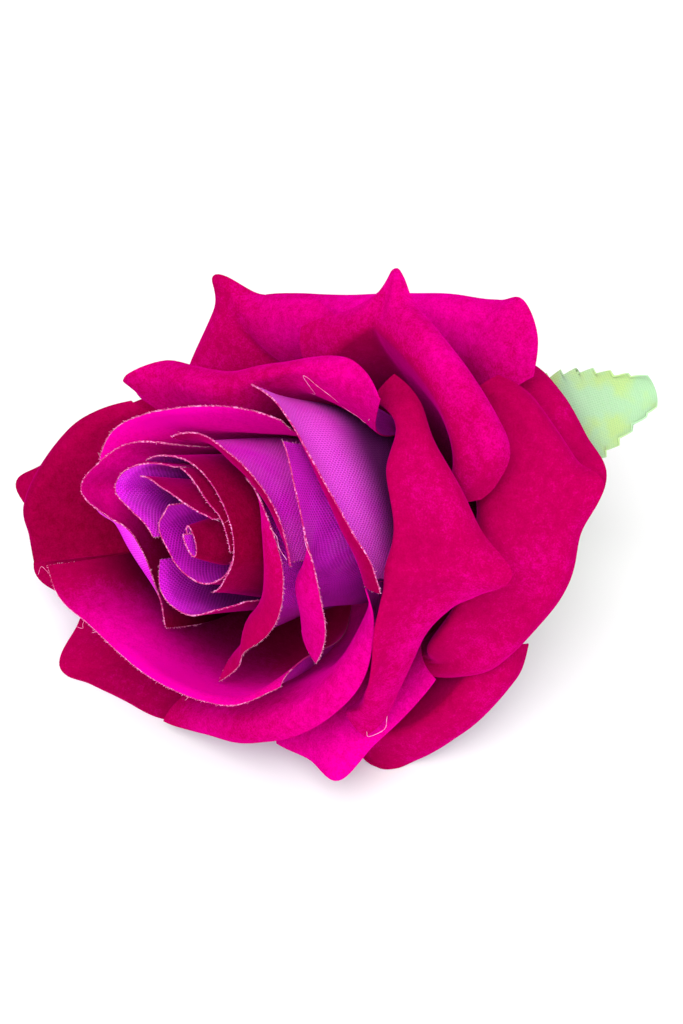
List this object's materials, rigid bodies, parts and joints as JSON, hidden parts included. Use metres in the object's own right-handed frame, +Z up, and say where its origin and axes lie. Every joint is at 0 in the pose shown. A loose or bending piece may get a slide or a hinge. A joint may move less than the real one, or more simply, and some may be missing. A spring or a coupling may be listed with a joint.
{
  "type": "artificial rose head",
  "caption": "Open artificial rose head of cut cloth petals round a rolled centre, with a calyx, short cut stem and one toothed leaf, lying on its side.",
  "frame": {"origin": "centre of the bounding box's base, on the table the flower lies on", "axes": "+Z up, +X to the right in the picture, -Y towards the picture's viewer; the flower opens to -X, -Y and up"},
  "size_m": [0.1115, 0.077, 0.0806],
  "materials": {
    "velvet_cloth": "deep pink velvet pile with a purple woven back",
    "leaf_cloth": "pale green woven cloth with yellow-green patches",
    "receptacle_plastic": "dull pale green moulded plastic",
    "calyx_plastic": "green moulded plastic"
  },
  "bodies": {
    "root": {"rolled_centre": "velvet_cloth", "bud_inner_cup_petal": "velvet_cloth", "bud_top_inner_petal": "velvet_cloth", "bud_top_middle_petal": "velvet_cloth", "bud_left_petal": "velvet_cloth", "bud_wrap_petal": "velvet_cloth", "bud_bottom_petal": "velvet_cloth", "right_ribbon_petal": "velvet_cloth", "right_inner_petal": "velvet_cloth", "left_inner_petal": "velvet_cloth", "top_inner_petal": "velvet_cloth", "right_second_petal": "velvet_cloth", "lower_left_cup_petal": "velvet_cloth", "bottom_ring_petal": "velvet_cloth", "right_purple_petal": "velvet_cloth", "left_dark_petal": "velvet_cloth", "top_rolled_petal": "velvet_cloth", "right_folded_petal": "velvet_cloth", "upper_right_petal": "velvet_cloth", "bottom_tip_petal": "velvet_cloth", "upper_left_outer_petal": "velvet_cloth", "right_outer_petal": "velvet_cloth", "top_back_petal": "velvet_cloth", "lower_left_outer_petal": "velvet_cloth", "left_outer_petal": "velvet_cloth", "lower_right_outer_petal": "velvet_cloth", "right_back_petal": "velvet_cloth", "leaf": "leaf_cloth", "receptacle": "receptacle_plastic", "calyx_with_stem": "calyx_plastic"}
  },
  "joints": []
}
